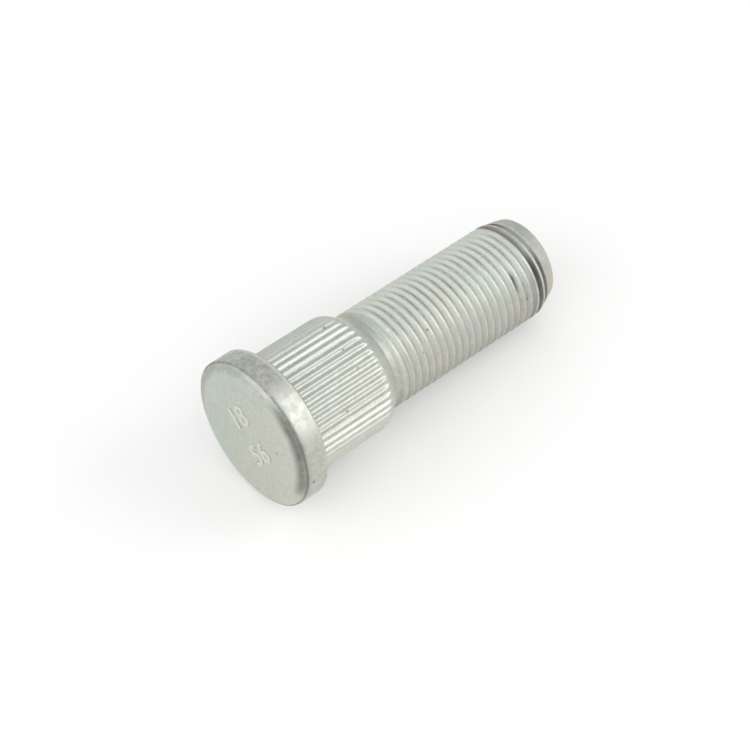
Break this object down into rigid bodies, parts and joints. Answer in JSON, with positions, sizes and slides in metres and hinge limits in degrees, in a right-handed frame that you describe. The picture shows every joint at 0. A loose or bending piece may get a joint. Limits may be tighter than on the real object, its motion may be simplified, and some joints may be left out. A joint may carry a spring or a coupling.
{
  "type": "wheel stud",
  "caption": "Press-in wheel stud with a flat round head, a collar of straight press-fit splines with a tapered lead-in, a plain neck and a threaded shank with a tapered point.",
  "frame": {"origin": "centre of the head's outer face, which the stud stands on", "axes": "+Z along the axis of the stud, from the head towards the threaded point"},
  "size_m": [0.0264, 0.0264, 0.0613],
  "materials": {
    "stud": "matt zinc-coated steel, slightly stained"
  },
  "bodies": {
    "root": {"wheel_stud": "stud"}
  },
  "joints": []
}
